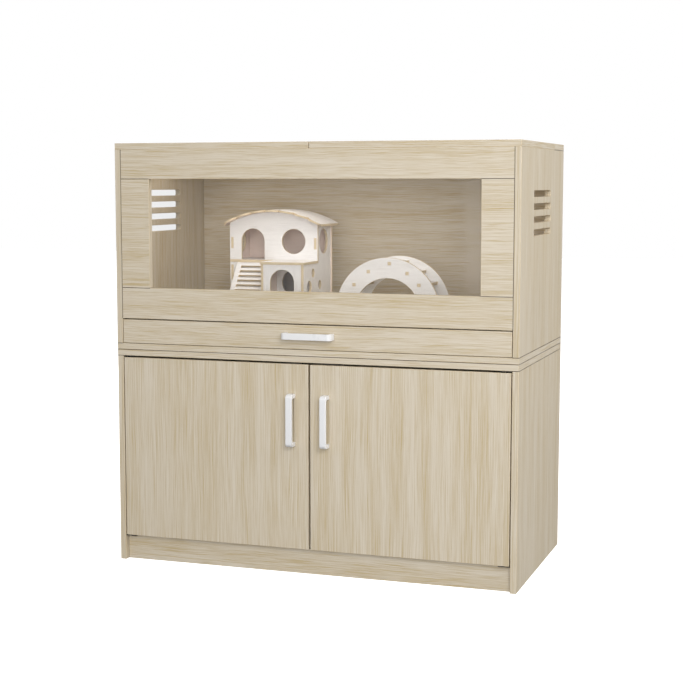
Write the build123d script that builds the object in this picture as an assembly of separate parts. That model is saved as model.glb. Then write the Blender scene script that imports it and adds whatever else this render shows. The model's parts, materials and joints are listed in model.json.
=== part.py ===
from build123d import *
import os
from collections import defaultdict
from math import asin, atan2, degrees, hypot

# Hamster cage on a two-door storage cabinet, flat-pack boards, millimetres.
# +Z up, the front faces -Y, origin under the middle of the whole object.
# The doors, lids and drawer front are flush with the boards round them.

# ---- overall sizes -----------------------------------------------------------
WIDTH = 800.0
DEPTH = 400.0
CABINET_H = 420.0
CAGE_H = 400.0
BOARD = 12.0                # every board of the two boxes
HARDBOARD = 3.0             # cabinet back and drawer bottom

# ---- clearances --------------------------------------------------------------
PIN_CLEAR = 0.05            # radial, pivot and hinge pins
HOLE_CLEAR = 0.1            # radial, screws, dowels and cam fittings
SLIDE_CLEAR = 0.4           # drawer over the cage bottom
GROOVE_CLEAR = 0.2          # thin boards in their grooves
TAB_CLEAR = 0.1             # plywood tabs in their slots
FRONT_GAP = 2.0             # doors and drawer front to the boards round them
SEAM_GAP = 1.0              # lid to lid and lid to rear strip

# ---- handles -----------------------------------------------------------------
HANDLE_L = 100.0
HANDLE_W = 12.5
HANDLE_OUT = 22.0
HANDLE_BAR = 5.5
HANDLE_LEG = 8.0
HANDLE_CORNER = 8.0
HANDLE_SCREW_R = 1.9
HANDLE_SCREW_HEAD_R = 3.8
HANDLE_SCREW_HEAD_H = 2.0
HANDLE_SCREW_IN_LEG = 8.0

# ---- cabinet -----------------------------------------------------------------
PLINTH_H = 50.0
PLINTH_SETBACK = 12.0
DOOR_TOP_GAP = 3.7
DOOR_CENTRE_GAP = 3.8
DOOR_HANDLE_X = 34.0
DOOR_HANDLE_Z = 298.5
DOOR_BACK_CLEAR = 4.0       # room behind the doors for the hinge edge to swing in
BACK_GROOVE_INSET = 10.0
GROOVE_DEPTH = 5.0

PIVOT_FROM_EDGE = 8.0
PIVOT_FROM_FACE = 4.0
PIVOT_PIN_R = 2.0
PIVOT_PIN_IN = 10.0
PIVOT_PLATE_T = 1.5
PIVOT_PLATE_W = 23.0        # from the side board inwards
PIVOT_PLATE_D = 34.0        # the upper plate's far edge, from the front plane
PIVOT_PLATE_SCREW_D = 26.0
PIVOT_SCREW_HALF = 7.0
PIVOT_BORE_EXTRA = 0.5
PIVOT_PLATE_UNDER_DOOR = 0.5

CATCH_L, CATCH_D, CATCH_H = 40.0, 14.0, 12.0
CATCH_FROM_CENTRE = 42.0
CATCH_SCREW_HALF = 15.0
POLE_HALF, POLE_W = 7.0, 8.0
STRIKE_L, STRIKE_H, STRIKE_T = 30.0, 7.0, 1.0
STRIKE_DOWN = 0.8           # under the door's top edge
STRIKE_GAP = 0.3

# ---- cage --------------------------------------------------------------------
DRAWER_ZONE_H = 49.0
TOP_RAIL_H = 56.5
BOTTOM_RAIL_H = 60.0
STILE_W = 60.0
REAR_STRIP_D = 95.5         # fixed part of the top, up to the middle of the seam
SLOT_L, SLOT_H, SLOT_PITCH, SLOT_COUNT = 156.0, 12.0, 24.0, 4
SLOT_REAR_R = 4.5
SLOT_FORWARD = 7.0          # of the middle of the depth
SLOT_TOP_BELOW_LID = 78.0
PANE_T = 3.0
PANE_OVERLAP = 12.0
CLIP_L, CLIP_T, CLIP_HALF = 22.0, 3.0, 7.0
CLIP_PITCH = 220.0

# ---- drawer ------------------------------------------------------------------
DRAWER_FRONT_BOTTOM_GAP = 1.0
DRAWER_FRONT_SIDE_GAP = 1.2
DRAWER_SIDE_GAP = 1.5
DRAWER_SIDE_H = 40.0
DRAWER_BACK_GAP = 31.0      # behind the drawer, to the back board
DRAWER_PEG_STEP = 10.0      # dowels above and below the middle of a side
DRAWER_HANDLE_UP = 2.0      # above the middle of the drawer's opening
DRAWER_BOTTOM_UP = 5.0

# ---- lid hinges --------------------------------------------------------------
HINGE_L = 50.0
HINGE_LEAF_W = 19.0
HINGE_LEAF_T = 1.2
HINGE_KNUCKLE_R = 2.5
HINGE_AXIS_UP = 2.8
HINGE_PIN_R = 1.3
HINGE_HEAD_R, HINGE_HEAD_H = 2.2, 1.0
HINGE_KNUCKLES = 5
HINGE_KNUCKLE_GAP = 0.3
HINGE_FROM_LID_MIDDLE = 120.0
HINGE_SCREW_STEP, HINGE_SCREW_BACK = 17.0, 13.0

# ---- wood screws, cam fittings and dowels ------------------------------------
SCREW_R, SCREW_HEAD_R, SCREW_HEAD_H, SCREW_L = 1.5, 2.9, 1.4, 10.0
SCREW_BITE = 8.0            # into the board, past what the screw holds
CAM_R, CAM_FROM_EDGE = 7.4, 24.0
CAM_UNDER_BOLT = 3.3        # depth of a lock past the middle of its board
CAM_BOLT_R, CAM_THREAD_R, CAM_THREAD_L = 3.0, 2.5, 8.0
CAM_POCKET = 3.4
CAM_HOLE_EXTRA = 0.2
CAM_INSET = 60.0            # first fitting from a board's corner
RAIL_CAM_UP, RAIL_DOWEL_DOWN = 36.0, 22.0
STRIP_CAM_SHIFT = 10.0
STILE_DOWEL_IN = 18.0
DOWEL_R, DOWEL_SHORT, DOWEL_LONG = 3.0, 8.0, 16.0
DOWEL_BESIDE_CAM = 32.0

# ---- plywood house and bridge ------------------------------------------------
PLY = 5.0
ROOF_T = 4.0
HOUSE_X = -150.0            # middle of the house across the cage
HOUSE_Y = 0.0               # its front wall, from the middle of the cage's depth
HOUSE_W = 190.0
HOUSE_D = 90.0
STOREY_H = 91.0
WALL_INSET = 2.5            # side walls in from the ends of the front wall
ROOF_SIDE_OUT = 11.0        # past the front wall at each end
ROOF_RISE, ROOF_TOP_UP = 28.0, 197.0
ROOF_FRONT, ROOF_BACK = 3.0, 7.0
ROOF_LOBES, ROOF_LOBE_OUT = 7, 15.0
PORCH_W = 90.0
PORCH_D = 75.0
PORCH_LIP = 3.0
FLOOR_LIP = 1.5
ARCH_W = 50.0
HOUSE_DOOR_X, HOUSE_DOOR_TOP = -44.4, 63.0
HOUSE_WINDOW_X, HOUSE_WINDOW_UP, HOUSE_WINDOW_R = 43.6, 38.0, 25.0
PORCH_DOOR_TOP = 81.0
SIDE_HOLE_BACK = 42.0
INNER_WINDOW_UP = 51.5
SMALL_HOLES = ((-20.0, 72.7, 8.75), (19.5, 47.4, 8.75), (-41.0, 45.8, 12.5))
TAB_UPPER_UP, TAB_UPPER_H = 34.0, 22.0
TAB_LOWER_UP, TAB_LOWER_H = 70.0, 30.0
RAMP_W, RAMP_SLOT_L, RAMP_SLOT_H, RAMP_SLOTS = 76.0, 54.0, 5.5, 9
RAMP_PITCH = 9.1            # fall from one slot to the next
RAMP_FIRST_DOWN = 10.0
RAMP_GAP = 0.5
RAMP_RUN, RAMP_RIGHT = 68.0, 6.0        # its slope's run; past the middle of the door above

BRIDGE_X, BRIDGE_Y = 100.0, -30.0
BRIDGE_R, BRIDGE_INNER_R, BRIDGE_D = 106.0, 66.0, 90.0
TREAD_W, TREAD_T = 30.0, 6.0
TREAD_TAB_W = 6.5
TREAD_PLACES = ((-68.3, 51.9), (-38.5, 78.1), (4.3, 94.5), (40.3, 75.9), (64.3, 53.3))

# ---- worked out --------------------------------------------------------------
CAM_DEPTH = BOARD / 2 + CAM_UNDER_BOLT
FRONT = -(DEPTH - HANDLE_OUT) / 2
BACK = FRONT + DEPTH
MIDDLE_Y = (FRONT + BACK) / 2
HALF = WIDTH / 2
INNER = HALF - BOARD
CAB_TOP = CABINET_H - BOARD             # underside of the cabinet's top board
CAGE_FLOOR = CABINET_H + BOARD          # upper side of the cage's bottom board
TOP = CABINET_H + CAGE_H
LID_UNDER = TOP - BOARD
SEAM = BACK - REAR_STRIP_D
RAIL_LOW = CAGE_FLOOR + DRAWER_ZONE_H
WINDOW_LOW = RAIL_LOW + BOTTOM_RAIL_H
WINDOW_HIGH = LID_UNDER - TOP_RAIL_H
WINDOW_HALF = INNER - STILE_W
DECK = RAIL_LOW + BOARD                 # the surface that the animal lives on
DOOR_LOW = PLINTH_H
DOOR_HIGH = CAB_TOP - DOOR_TOP_GAP
PIVOT_X = INNER - FRONT_GAP - PIVOT_FROM_EDGE
PIVOT_Y = FRONT + PIVOT_FROM_FACE
DRAWER_LOW = CAGE_FLOOR + SLIDE_CLEAR
DRAWER_SIDE_OUT = INNER - DRAWER_SIDE_GAP
DRAWER_HANDLE_Z = (CAGE_FLOOR + RAIL_LOW) / 2 + DRAWER_HANDLE_UP
HOUSE_FRONT = MIDDLE_Y + HOUSE_Y
HOUSE_LEFT, HOUSE_RIGHT = HOUSE_X - HOUSE_W / 2, HOUSE_X + HOUSE_W / 2
STOREY = DECK + STOREY_H                # underside of the house's upper floor
UPPER = STOREY + PLY
ROOF_W = HOUSE_W + 2 * ROOF_SIDE_OUT
ROOF_R = ((ROOF_W / 2) ** 2 + ROOF_RISE ** 2) / (2 * ROOF_RISE)
ROOF_CENTRE_Z = DECK + ROOF_TOP_UP - ROOF_R

holes = defaultdict(list)               # cutters, by the name of the board they cut
cam_bolts, cam_locks, dowels, fixed_screws = [], [], [], []

os.makedirs("parts", exist_ok=True)


# ---- helpers -----------------------------------------------------------------
def block(x, y, z):
    """A board between two values on each axis."""
    middle = Pos((x[0] + x[1]) / 2, (y[0] + y[1]) / 2, (z[0] + z[1]) / 2)
    return middle * Box(abs(x[1] - x[0]), abs(y[1] - y[0]), abs(z[1] - z[0]))


def rod(radius, start, end, at=(0, 0)):
    """A cylinder along local X from start to end; at is its local Y and Z."""
    return Pos((start + end) / 2, at[0], at[1]) * Rot(0, 90, 0) * Cylinder(radius, end - start)


def post(radius, x, y, z):
    """A vertical cylinder between two heights."""
    return Pos(x, y, (z[0] + z[1]) / 2) * Cylinder(radius, abs(z[1] - z[0]))


def through_y(radius, x, z, y):
    """A cylinder along Y between two values."""
    return Pos(x, (y[0] + y[1]) / 2, z) * Rot(90, 0, 0) * Cylinder(radius, abs(y[1] - y[0]))


def through_x(radius, y, z, x):
    """A cylinder along X between two values."""
    return Pos((x[0] + x[1]) / 2, y, z) * Rot(0, 90, 0) * Cylinder(radius, abs(x[1] - x[0]))


def save(name, *pieces):
    """Cut a node's holes and write its solids."""
    solids = []
    for piece in pieces:
        for cutter in holes[name]:
            piece = piece - cutter
        solids += piece.solids()
    shape = solids[0] if len(solids) == 1 else Compound(children=solids)
    export_step(shape, f"parts/{name}.step")


def mirrored(sign, low, high):
    """A span on the left (-1) or right (1) of the middle plane."""
    return (sign * low, sign * high) if sign > 0 else (-high, -low)


def cam_joint(bolt_board, cam_board, at, along, out):
    """Cam lock in cam_board drawn against a bolt in bolt_board.

    at lies on the joint, at half of the cam board's thickness; along points into
    the cam board, and out towards the face that the lock is set into.
    """
    frame = Plane(origin=at, x_dir=along, z_dir=out)
    face = BOARD / 2
    neck = CAM_FROM_EDGE - CAM_R - 1
    bolt = rod(CAM_THREAD_R, -CAM_THREAD_L, 0) + rod(CAM_BOLT_R, 0, neck)
    bolt += rod(CAM_BOLT_R - 1, neck, CAM_FROM_EDGE - 2) + rod(CAM_BOLT_R, CAM_FROM_EDGE - 3, CAM_FROM_EDGE)
    at_cam = Pos(CAM_FROM_EDGE, 0, face - CAM_DEPTH / 2)
    lock = at_cam * Cylinder(CAM_R, CAM_DEPTH)
    pocket = block((CAM_FROM_EDGE - CAM_R - 1, CAM_FROM_EDGE + 1.5), (-CAM_POCKET, CAM_POCKET),
                   (-CAM_POCKET, CAM_POCKET))
    cross = Pos(CAM_FROM_EDGE, 0, face) * (Box(9, 1.8, 3) + Box(1.8, 9, 3))
    cam_bolts.append(frame * bolt)
    cam_locks.append(frame * (lock - pocket - cross))
    deep = CAM_DEPTH + CAM_HOLE_EXTRA
    recess = Pos(CAM_FROM_EDGE, 0, face - deep / 2) * Cylinder(CAM_R + HOLE_CLEAR, deep)
    holes[cam_board].append(frame * recess)
    holes[cam_board].append(frame * rod(CAM_BOLT_R + HOLE_CLEAR, 0, CAM_FROM_EDGE - CAM_R + 1))
    holes[bolt_board].append(frame * rod(CAM_THREAD_R + HOLE_CLEAR, -CAM_THREAD_L - CAM_HOLE_EXTRA, 0))


def dowel_joint(face_board, edge_board, at, along):
    """Wooden dowel from the face of one board into the edge of another."""
    side = (0, 0, 1) if along[2] == 0 else (1, 0, 0)
    frame = Plane(origin=at, x_dir=along, z_dir=side)
    dowels.append(frame * rod(DOWEL_R, -DOWEL_SHORT, DOWEL_LONG))
    hole_r = DOWEL_R + HOLE_CLEAR
    holes[face_board].append(frame * rod(hole_r, -DOWEL_SHORT - CAM_HOLE_EXTRA, 0))
    holes[edge_board].append(frame * rod(hole_r, 0, DOWEL_LONG + CAM_HOLE_EXTRA))


def wood_screw(at, into, length=SCREW_L):
    """A countersunk screw whose head is flush at the point at."""
    side = (1, 0, 0) if into[0] == 0 else (0, 1, 0)
    frame = Plane(origin=at, x_dir=into, z_dir=side)
    head = Pos(SCREW_HEAD_H / 2, 0, 0) * Rot(0, -90, 0) * Cone(SCREW_R, SCREW_HEAD_R, SCREW_HEAD_H)
    drive = Box(1.0, 3.2, 0.8) + Box(1.0, 0.8, 3.2)
    return frame * (head + rod(SCREW_R, SCREW_HEAD_H / 2, length) - drive)


def screw_hole(at, into, length=SCREW_L):
    """The countersunk hole that wood_screw fits."""
    side = (1, 0, 0) if into[0] == 0 else (0, 1, 0)
    frame = Plane(origin=at, x_dir=into, z_dir=side)
    cone = Rot(0, -90, 0) * Cone(SCREW_R + HOLE_CLEAR, SCREW_HEAD_R + HOLE_CLEAR, SCREW_HEAD_H)
    mouth = rod(SCREW_HEAD_R + HOLE_CLEAR, -1, 0)
    return frame * (Pos(SCREW_HEAD_H / 2, 0, 0) * cone + mouth
                    + rod(SCREW_R + HOLE_CLEAR, SCREW_HEAD_H / 2, length + CAM_HOLE_EXTRA))


def screwed(boards, at, into, length=SCREW_L):
    """Drill the named boards for one screw, and return the screw."""
    for board in boards:
        holes[board].append(screw_hole(at, into, length))
    return wood_screw(at, into, length)


# ---- handles -----------------------------------------------------------------
def handle(upright, x, z):
    """A moulded bow handle on the front plane, upright or level."""
    half = HANDLE_L / 2
    bow = block((-half, half), (-HANDLE_OUT, 0), (-HANDLE_W / 2, HANDLE_W / 2))
    corners = bow.edges().filter_by(Axis.Z).group_by(Axis.Y)[0]
    bow = fillet(corners, HANDLE_CORNER)
    gap = block((-half + HANDLE_LEG, half - HANDLE_LEG), (-HANDLE_OUT + HANDLE_BAR, 1),
                (-HANDLE_W, HANDLE_W))
    gap = fillet(gap.edges().filter_by(Axis.Z).group_by(Axis.Y)[0], HANDLE_CORNER / 2)
    bow = bow - gap
    for end in (-1, 1):
        bow -= through_y(HANDLE_SCREW_R + HOLE_CLEAR, end * (half - HANDLE_LEG / 2), 0,
                         (-HANDLE_SCREW_IN_LEG - CAM_HOLE_EXTRA, 1))
    return Pos(x, FRONT, z) * Rot(0, 90 if upright else 0, 0) * bow


def handle_screws(board, upright, x, z):
    """The two machine screws from behind the board, and their holes in it."""
    screws = []
    reach = HANDLE_L / 2 - HANDLE_LEG / 2
    for end in (-1, 1):
        sx = x if upright else x + end * reach
        sz = z + end * reach if upright else z
        shank = through_y(HANDLE_SCREW_R, sx, sz, (FRONT - HANDLE_SCREW_IN_LEG, FRONT + BOARD))
        head = through_y(HANDLE_SCREW_HEAD_R, sx, sz, (FRONT + BOARD, FRONT + BOARD + HANDLE_SCREW_HEAD_H))
        slot = block((sx - 2.6, sx + 2.6), (FRONT + BOARD + 1, FRONT + BOARD + 3), (sz - 0.5, sz + 0.5))
        screws.append(shank + head - slot)
        holes[board].append(through_y(HANDLE_SCREW_R + HOLE_CLEAR, sx, sz, (FRONT - 1, FRONT + BOARD + 1)))
    return screws


# ---- cabinet -----------------------------------------------------------------
def cabinet_joints():
    """Cam locks and dowels of the cabinet's boards."""
    for sign, side in ((-1, "cabinet_left_side"), (1, "cabinet_right_side")):
        inward, down = (-sign, 0, 0), (0, 0, -1)
        side_x = sign * (INNER + BOARD / 2)
        for y in (FRONT + CAM_INSET, BACK - CAM_INSET):
            cam_joint("cabinet_top_panel", side, (side_x, y, CAB_TOP), down, inward)
            at = (sign * INNER, y, PLINTH_H + BOARD / 2)
            cam_joint(side, "cabinet_bottom_panel", at, inward, down)
            for step in (-DOWEL_BESIDE_CAM, DOWEL_BESIDE_CAM):
                dowel_joint("cabinet_top_panel", side, (side_x, y + step, CAB_TOP), down)
        plinth_y = FRONT + PLINTH_SETBACK + BOARD / 2
        cam_joint(side, "plinth", (sign * INNER, plinth_y, PLINTH_H / 2), inward, (0, 1, 0))
        holes[side].append(back_board(GROOVE_CLEAR))


def back_board(grow=0.0):
    """The hardboard back, or with grow the grooves that hold it."""
    y = BACK - BACK_GROOVE_INSET
    return block((-INNER - GROOVE_DEPTH + GROOVE_CLEAR - grow, INNER + GROOVE_DEPTH - GROOVE_CLEAR + grow),
                 (y - HARDBOARD - grow / 2, y + grow / 2),
                 (PLINTH_H + BOARD - GROOVE_DEPTH + GROOVE_CLEAR - grow,
                  CAB_TOP + GROOVE_DEPTH - GROOVE_CLEAR + grow))


def cabinet_boards():
    """Sides to the floor, top across them, bottom board on the plinth."""
    for name in ("cabinet_top_panel", "cabinet_bottom_panel"):
        holes[name].append(back_board(GROOVE_CLEAR))
    depth = (FRONT, BACK)
    save("cabinet_left_side", block((-HALF, -INNER), depth, (0, CAB_TOP)))
    save("cabinet_right_side", block((INNER, HALF), depth, (0, CAB_TOP)))
    save("cabinet_top_panel", block((-HALF, HALF), depth, (CAB_TOP, CABINET_H)))
    floor_front = FRONT + BOARD + DOOR_BACK_CLEAR
    save("cabinet_bottom_panel", block((-INNER, INNER), (floor_front, BACK), (PLINTH_H, PLINTH_H + BOARD)))
    plinth_y = FRONT + PLINTH_SETBACK
    save("plinth", block((-INNER, INNER), (plinth_y, plinth_y + BOARD), (0, PLINTH_H)))
    save("cabinet_back_panel", back_board())


def pivot_parts(sign):
    """Upper and lower pivot plates with their pins, for one door."""
    x = sign * PIVOT_X
    span = mirrored(sign, INNER - PIVOT_PLATE_W, INNER)
    screw_xs = [sum(span) / 2 - PIVOT_SCREW_HALF, sum(span) / 2 + PIVOT_SCREW_HALF]
    plate_front = FRONT + 1
    upper = block(span, (plate_front, FRONT + PIVOT_PLATE_D), (CAB_TOP - PIVOT_PLATE_T, CAB_TOP))
    pin = post(PIVOT_PIN_R, x, PIVOT_Y, (DOOR_HIGH - PIVOT_PIN_IN, CAB_TOP - PIVOT_PLATE_T))
    upper += pin
    for screw_x in screw_xs:
        at = (screw_x, FRONT + PIVOT_PLATE_SCREW_D, CAB_TOP - PIVOT_PLATE_T)
        upper -= screw_hole(at, (0, 0, 1))
        fixed_screws.append(screwed(["cabinet_top_panel"], at, (0, 0, 1)))
    plate_top = DOOR_LOW - PIVOT_PLATE_UNDER_DOOR
    plinth_back = FRONT + PLINTH_SETBACK + BOARD
    lower = block(span, (plate_front, plinth_back), (plate_top - PIVOT_PLATE_T, plate_top))
    holes["plinth"].append(block(span, (FRONT, plinth_back + 1), (plate_top - PIVOT_PLATE_T, PLINTH_H + 1)))
    lower += post(PIVOT_PIN_R, x, PIVOT_Y, (plate_top, DOOR_LOW + PIVOT_PIN_IN))
    for screw_x in screw_xs:
        at = (screw_x, plinth_back - BOARD / 2, plate_top)
        lower -= screw_hole(at, (0, 0, -1))
        fixed_screws.append(screwed(["plinth"], at, (0, 0, -1)))
    return [upper, lower]


def catch_parts(sign):
    """Magnetic catch under the top board, and its strike on the door's back."""
    x = sign * CATCH_FROM_CENTRE
    strike_back = FRONT + BOARD + STRIKE_T
    y = strike_back + STRIKE_GAP
    body = block((x - CATCH_L / 2, x + CATCH_L / 2), (y + 2, y + CATCH_D), (CAB_TOP - CATCH_H, CAB_TOP))
    for pole in (x - POLE_HALF, x + POLE_HALF):
        body += block((pole - POLE_W / 2, pole + POLE_W / 2), (y, y + 3),
                      (CAB_TOP - CATCH_H + 1, CAB_TOP - 3))
    for step in (-CATCH_SCREW_HALF, CATCH_SCREW_HALF):
        at = (x + step, y + CATCH_D / 2 + 1, CAB_TOP - CATCH_H)
        body -= screw_hole(at, (0, 0, 1), CATCH_H + SCREW_BITE)
        fixed_screws.append(screwed(["cabinet_top_panel"], at, (0, 0, 1), CATCH_H + SCREW_BITE))
    strike_high = DOOR_HIGH - STRIKE_DOWN
    strike = block((x - STRIKE_L / 2, x + STRIKE_L / 2), (FRONT + BOARD, strike_back),
                   (strike_high - STRIKE_H, strike_high))
    return body, strike


def door(sign, name):
    """One door with its handle; the pivot bores are in its top and bottom edges."""
    x = sign * DOOR_HANDLE_X
    screws = handle_screws(name, True, x, DOOR_HANDLE_Z)
    bore = PIVOT_PIN_R + PIN_CLEAR
    px = sign * PIVOT_X
    holes[name].append(post(bore, px, PIVOT_Y, (DOOR_HIGH - PIVOT_PIN_IN - PIVOT_BORE_EXTRA, DOOR_HIGH + 1)))
    holes[name].append(post(bore, px, PIVOT_Y, (DOOR_LOW - 1, DOOR_LOW + PIVOT_PIN_IN + PIVOT_BORE_EXTRA)))
    panel = block(mirrored(sign, DOOR_CENTRE_GAP / 2, INNER - FRONT_GAP), (FRONT, FRONT + BOARD),
                  (DOOR_LOW, DOOR_HIGH))
    save(name, panel)
    save(name + "_handle", handle(True, x, DOOR_HANDLE_Z))
    save(name + "_handle_screws", *screws)


def cabinet():
    """The storage cabinet with its doors, pivots and catches."""
    cabinet_joints()
    pivots, catches = [], []
    for sign, name in ((-1, "left_door"), (1, "right_door")):
        pivots += pivot_parts(sign)
        body, strike = catch_parts(sign)
        catches.append(body)
        save(name + "_strike", strike)
        door(sign, name)
    save("door_pivots", *pivots)
    save("door_catches", *catches)


# ---- cage --------------------------------------------------------------------
def cage_joints():
    """Cam locks and dowels of the cage's boards, and the dowels that seat it."""
    for sign, side in ((-1, "cage_left_side"), (1, "cage_right_side")):
        inward = (-sign, 0, 0)
        side_x = sign * (INNER + BOARD / 2)
        for y in (FRONT + CAM_INSET, BACK - CAM_INSET):
            cam_joint("cage_bottom_panel", side, (side_x, y, CAGE_FLOOR), (0, 0, 1), inward)
            cam_joint(side, "cage_floor_panel", (sign * INNER, y, RAIL_LOW + BOARD / 2), inward, (0, 0, -1))
            dowel_joint("cage_bottom_panel", side, (side_x, y + DOWEL_BESIDE_CAM, CAGE_FLOOR), (0, 0, 1))
            seat_y = y - DOWEL_BESIDE_CAM
            deep = DOWEL_SHORT + CAM_HOLE_EXTRA
            dowels.append(post(DOWEL_R, side_x, seat_y, (CABINET_H - DOWEL_SHORT, CABINET_H + DOWEL_SHORT)))
            bore = post(DOWEL_R + HOLE_CLEAR, side_x, seat_y, (CABINET_H - deep, CABINET_H + deep))
            holes["cabinet_top_panel"].append(bore)
            holes["cage_bottom_panel"].append(bore)
        strip_y = (SEAM + BACK) / 2 - STRIP_CAM_SHIFT
        cam_joint("rear_top_strip", side, (side_x, strip_y, LID_UNDER), (0, 0, -1), inward)
        dowel_joint("rear_top_strip", side, (side_x, strip_y + 2 * STRIP_CAM_SHIFT, LID_UNDER), (0, 0, -1))
        front_y, back_y = FRONT + BOARD / 2, BACK - BOARD / 2
        for board, low in (("top_rail", WINDOW_HIGH), ("bottom_rail", RAIL_LOW)):
            z = low + RAIL_CAM_UP
            cam_joint(side, board, (sign * INNER, front_y, z), inward, (0, 1, 0))
            dowel_joint(side, board, (sign * INNER, front_y, z - RAIL_DOWEL_DOWN), inward)
        for z in (RAIL_LOW + CAM_INSET, LID_UNDER - CAM_INSET):
            cam_joint(side, "cage_back_panel", (sign * INNER, back_y, z), inward, (0, 1, 0))
        for rail, stile_z, up in (("top_rail", WINDOW_HIGH, -1), ("bottom_rail", WINDOW_LOW, 1)):
            for x in (INNER - STILE_DOWEL_IN, INNER - STILE_W + STILE_DOWEL_IN):
                stile = "left_stile" if sign < 0 else "right_stile"
                dowel_joint(rail, stile, (sign * x, front_y, stile_z), (0, 0, up))


def vent_slots(sign):
    """The level slots of one side, square in front and rounded behind."""
    cutters = []
    middle_y = MIDDLE_Y - SLOT_FORWARD
    for i in range(SLOT_COUNT):
        high = LID_UNDER - SLOT_TOP_BELOW_LID - i * SLOT_PITCH
        slot = block((sign * (INNER - 1), sign * (HALF + 1)),
                     (middle_y - SLOT_L / 2, middle_y + SLOT_L / 2), (high - SLOT_H, high))
        rear = slot.edges().filter_by(Axis.X).group_by(Axis.Y)[-1]
        cutters.append(fillet(rear, SLOT_REAR_R))
    return cutters


def cage_boards():
    """Bottom, sides, back, floor, front frame and the fixed strip of the top."""
    depth = (FRONT, BACK)
    for sign, name in ((-1, "cage_left_side"), (1, "cage_right_side")):
        holes[name] += vent_slots(sign)
    save("cage_left_side", block((-HALF, -INNER), depth, (CAGE_FLOOR, LID_UNDER)))
    save("cage_right_side", block((INNER, HALF), depth, (CAGE_FLOOR, LID_UNDER)))
    save("cage_bottom_panel", block((-HALF, HALF), depth, (CABINET_H, CAGE_FLOOR)))
    save("cage_back_panel", block((-INNER, INNER), (BACK - BOARD, BACK), (CAGE_FLOOR, LID_UNDER)))
    save("cage_floor_panel", block((-INNER, INNER), (FRONT + BOARD, BACK - BOARD), (RAIL_LOW, DECK)))
    save("rear_top_strip", block((-HALF, HALF), (SEAM + SEAM_GAP / 2, BACK), (LID_UNDER, TOP)))
    face = (FRONT, FRONT + BOARD)
    save("top_rail", block((-INNER, INNER), face, (WINDOW_HIGH, LID_UNDER)))
    save("bottom_rail", block((-INNER, INNER), face, (RAIL_LOW, WINDOW_LOW)))
    save("left_stile", block((-INNER, -WINDOW_HALF), face, (WINDOW_LOW, WINDOW_HIGH)))
    save("right_stile", block((WINDOW_HALF, INNER), face, (WINDOW_LOW, WINDOW_HIGH)))


def window():
    """Clear pane behind the frame, held by eight stepped clips."""
    pane_y = (FRONT + BOARD, FRONT + BOARD + PANE_T)
    half = WINDOW_HALF + PANE_OVERLAP
    low, high = WINDOW_LOW - PANE_OVERLAP, WINDOW_HIGH + PANE_OVERLAP
    save("window_pane", block((-half, half), pane_y, (low, high)))
    places = [(x, low, 0, -1, "bottom_rail") for x in (-CLIP_PITCH, 0, CLIP_PITCH)]
    places += [(x, high, 0, 1, "top_rail") for x in (-CLIP_PITCH, 0, CLIP_PITCH)]
    places += [(-half, (low + high) / 2, -1, 0, "left_stile"), (half, (low + high) / 2, 1, 0, "right_stile")]
    clips = []
    for x, z, dx, dz, board in places:
        wide, tall = (CLIP_L, CLIP_HALF) if dx == 0 else (CLIP_HALF, CLIP_L)
        foot_x, foot_z = x + dx * (CLIP_HALF / 2 + GROOVE_CLEAR), z + dz * (CLIP_HALF / 2 + GROOVE_CLEAR)
        foot = Pos(foot_x, pane_y[0] + PANE_T / 2, foot_z) * Box(wide, PANE_T, tall)
        cap_wide, cap_tall = (wide, 2 * tall) if dx == 0 else (2 * wide, tall)
        cap = Pos(x + dx * GROOVE_CLEAR, pane_y[1] + CLIP_T / 2, z + dz * GROOVE_CLEAR)
        cap = cap * Box(cap_wide, CLIP_T, cap_tall)
        at = (foot_x, pane_y[1] + CLIP_T, foot_z)
        length = CLIP_T + PANE_T + SCREW_BITE
        clips.append(foot + cap - screw_hole(at, (0, -1, 0), length))
        fixed_screws.append(screwed([board], at, (0, -1, 0), length))
    save("window_clips", *clips)


# ---- lids --------------------------------------------------------------------
def knuckle_spans(which):
    """X spans of the knuckles of the fixed (0) or moving (1) leaf, from the hinge's middle."""
    pitch = HINGE_L / HINGE_KNUCKLES
    spans = []
    for i in range(which, HINGE_KNUCKLES, 2):
        start = -HINGE_L / 2 + i * pitch
        spans.append((start + HINGE_KNUCKLE_GAP / 2, start + pitch - HINGE_KNUCKLE_GAP / 2))
    return spans


def hinge_screw_places(x, toward):
    """Where the heads of a leaf's three screws are flush."""
    y = SEAM + toward * HINGE_SCREW_BACK
    return [(x + step, y, TOP + HINGE_LEAF_T) for step in (-HINGE_SCREW_STEP, 0, HINGE_SCREW_STEP)]


def hinge_leaf(x, toward, which):
    """A leaf on the top with its knuckles; toward is -1 for the lid, 1 for the strip."""
    axis_z = TOP + HINGE_AXIS_UP
    near = HINGE_KNUCKLE_R + HINGE_KNUCKLE_GAP + 0.2
    leaf = block((x - HINGE_L / 2, x + HINGE_L / 2),
                 (SEAM + toward * near, SEAM + toward * HINGE_LEAF_W), (TOP, TOP + HINGE_LEAF_T))
    barrel = None
    for a, b in knuckle_spans(which):
        web = block((x + a, x + b), (SEAM, SEAM + toward * (near + 1)), (TOP, TOP + HINGE_LEAF_T))
        web -= block((x + a - 1, x + b + 1), (SEAM - toward, SEAM + toward * SEAM_GAP / 2),
                     (TOP - 1, TOP + 2))
        ring = through_x(HINGE_KNUCKLE_R, SEAM, axis_z, (x + a, x + b))
        barrel = ring + web if barrel is None else barrel + ring + web
    leaf = leaf + barrel
    leaf -= through_x(HINGE_PIN_R + PIN_CLEAR, SEAM, axis_z, (x - HINGE_L, x + HINGE_L))
    for at in hinge_screw_places(x, toward):
        leaf -= screw_hole(at, (0, 0, -1))
    return leaf


def hinge_screws(board, x, toward):
    """Three screws through a leaf."""
    return [screwed([board], at, (0, 0, -1)) for at in hinge_screw_places(x, toward)]


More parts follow.
